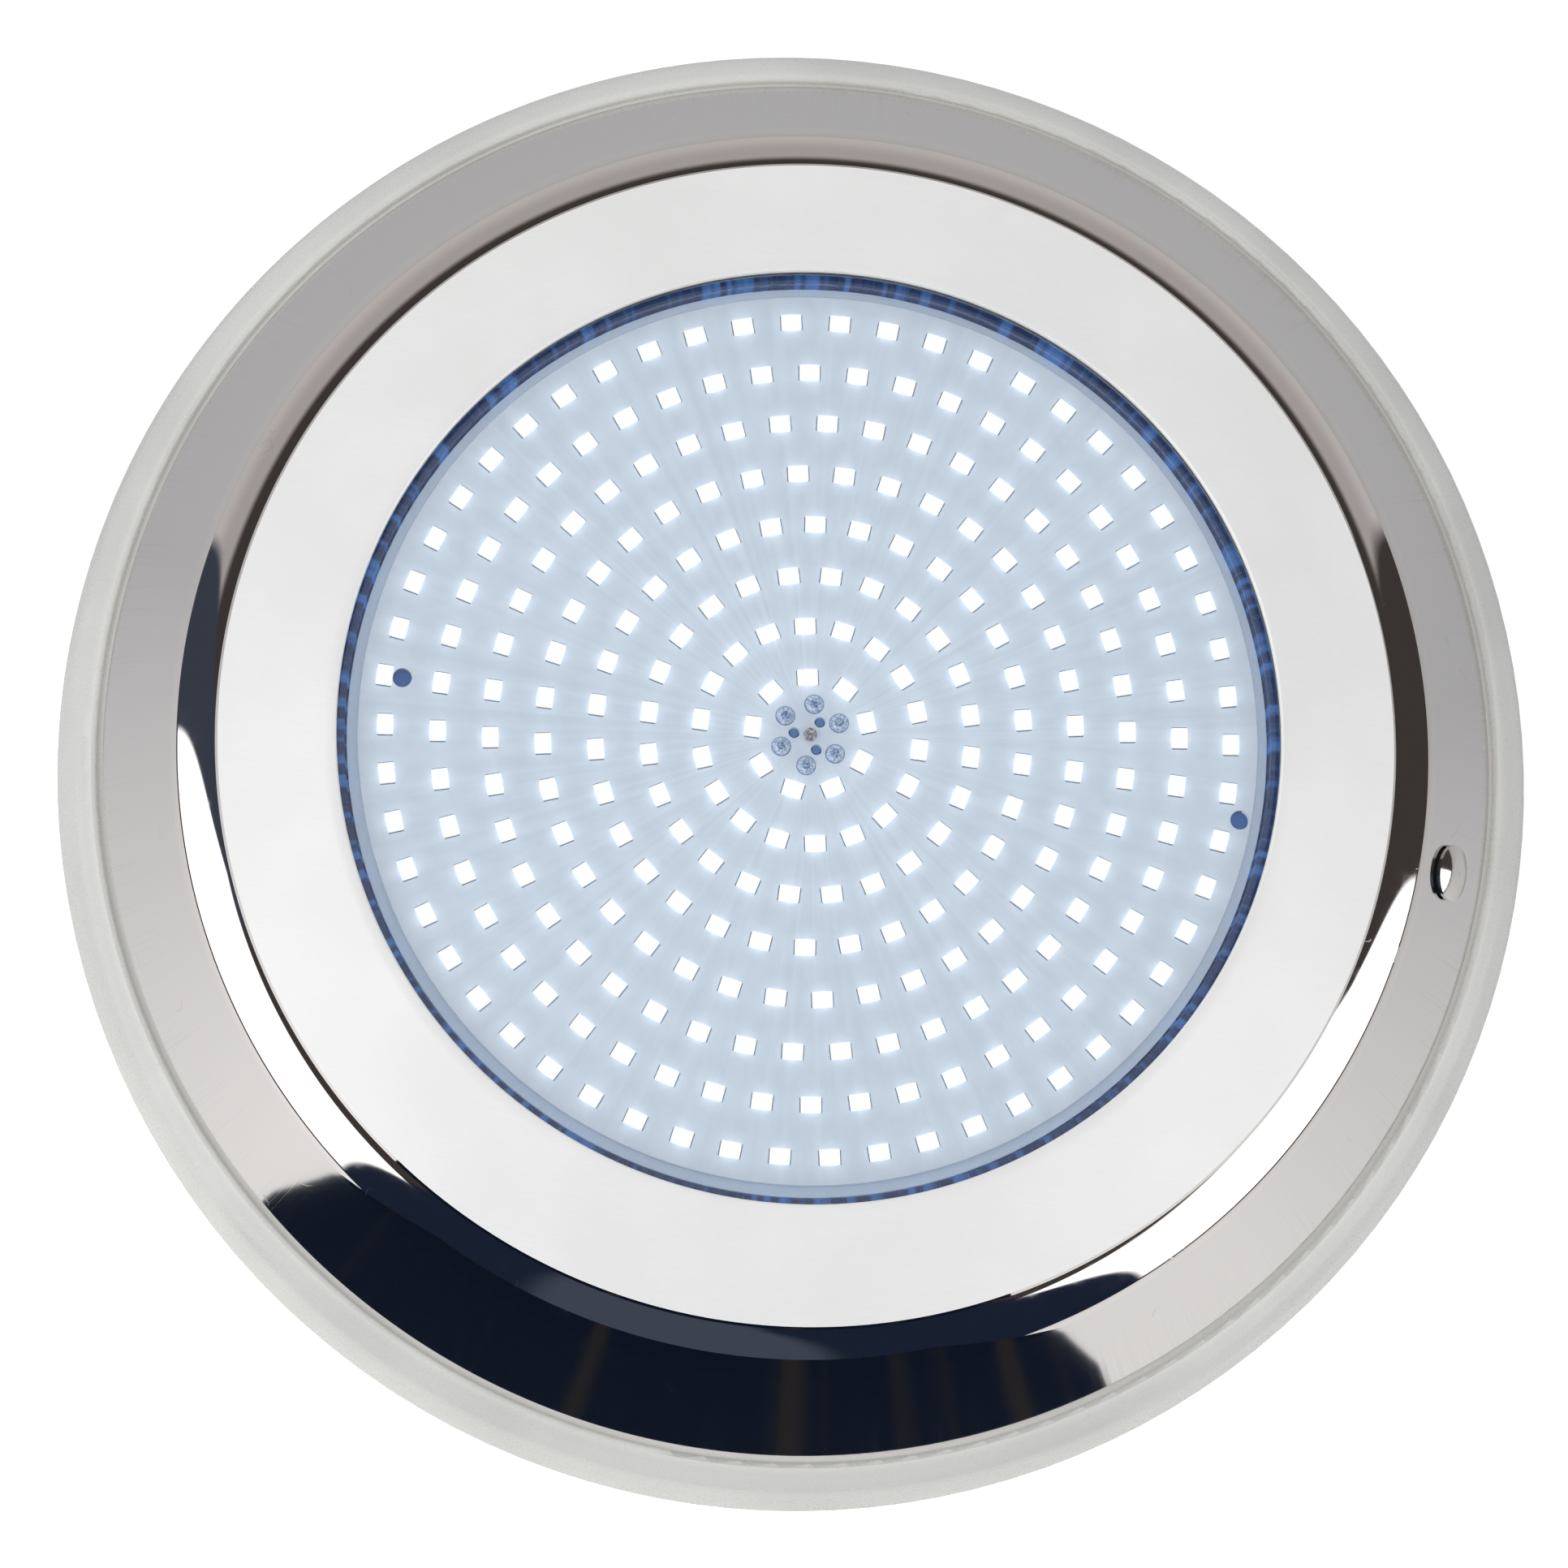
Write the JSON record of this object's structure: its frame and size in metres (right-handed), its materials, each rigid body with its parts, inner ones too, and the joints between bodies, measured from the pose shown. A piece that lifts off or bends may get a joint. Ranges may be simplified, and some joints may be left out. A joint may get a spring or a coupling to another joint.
{
  "type": "underwater pool light",
  "caption": "Round surface-mounted pool lamp: stainless cover over a white LED board behind a flat lens, on a plastic wall base with a lock screw.",
  "frame": {"origin": "centre of the rear face of the wall base, where it meets the wall", "axes": "+Z out of the lamp's face, away from the wall; +X towards the lock screw; +Y completes a right-handed frame"},
  "size_m": [0.263, 0.263, 0.045],
  "materials": {
    "base_plastic": "pale grey-green moulded plastic, satin to semi-gloss",
    "stainless": "polished stainless sheet with fine scratches",
    "screw_steel": "bright stainless",
    "zinc_steel": "plain zinc",
    "brass": "turned",
    "lens_clear": "clear, flat, polished",
    "rubber_black": "matt",
    "rubber_clear": "translucent silicone",
    "housing_blue_black": "dark moulded plastic",
    "board_white": "white solder mask",
    "board_green": "green solder mask",
    "solder": "bright solder",
    "led_white": "white body with a round window, lit cold white",
    "thermal_grey": "soft grey silicone sheet",
    "aluminium": "milled",
    "component_black": "moulded epoxy",
    "capacitor_sleeve": "shrunk sleeve",
    "ferrite": "sintered",
    "block_green": "moulded",
    "wire_white": "insulated wire",
    "gland_black": "moulded nylon"
  },
  "bodies": {
    "light": {"mounting_base": "base_plastic", "base_insert": "brass", "steel_cover": "stainless", "cover_hooks": "stainless", "stud_washers": "zinc_steel", "stud_nuts": "zinc_steel", "top_gasket": "rubber_clear", "lens": "lens_clear", "lens_gasket": "rubber_clear", "lamp_housing": "housing_blue_black", "housing_back": "housing_blue_black", "back_seal": "rubber_black", "back_screws": "screw_steel", "heat_spreader": "aluminium", "spreader_screws": "zinc_steel", "thermal_pad": "thermal_grey", "led_board": "board_white", "board_terminals": "solder", "board_centre_screw": "zinc_steel", "driver_board": "board_green", "driver_standoffs": "brass", "driver_screws": "zinc_steel", "capacitors": "capacitor_sleeve", "inductor": "ferrite", "bridge_rectifier": "component_black", "driver_chip": "component_black", "terminal_block": "block_green", "lead_wires": "wire_white", "gland_body": "gland_black", "gland_washer": "rubber_black", "gland_locknut": "gland_black", "gland_seal": "rubber_black", "gland_nut": "gland_black", "led_ring_1": "led_white", "led_ring_2": "led_white", "led_ring_3": "led_white", "led_ring_4": "led_white", "led_ring_5": "led_white", "led_ring_6": "led_white", "led_ring_7": "led_white", "led_ring_8": "led_white"},
    "washer_carrier": {"lock_washer": "rubber_black"},
    "screw": {"lock_screw": "screw_steel"}
  },
  "joints": [
    {"name": "lock_screw_travel", "type": "slide", "parent": "light", "child": "washer_carrier", "axis": [0.788, 0, 0.6157], "range_m": [0, 0.012]},
    {"name": "lock_screw_turn", "type": "hinge", "parent": "washer_carrier", "child": "screw", "pos_m": [0.1149, 0, 0.02907], "axis": [0.788, 0, 0.6157], "range_deg": [0, 5400]}
  ],
  "couplings": [
    {"joint": "lock_screw_turn", "follows": "lock_screw_travel", "rad_per_m": 7854}
  ]
}
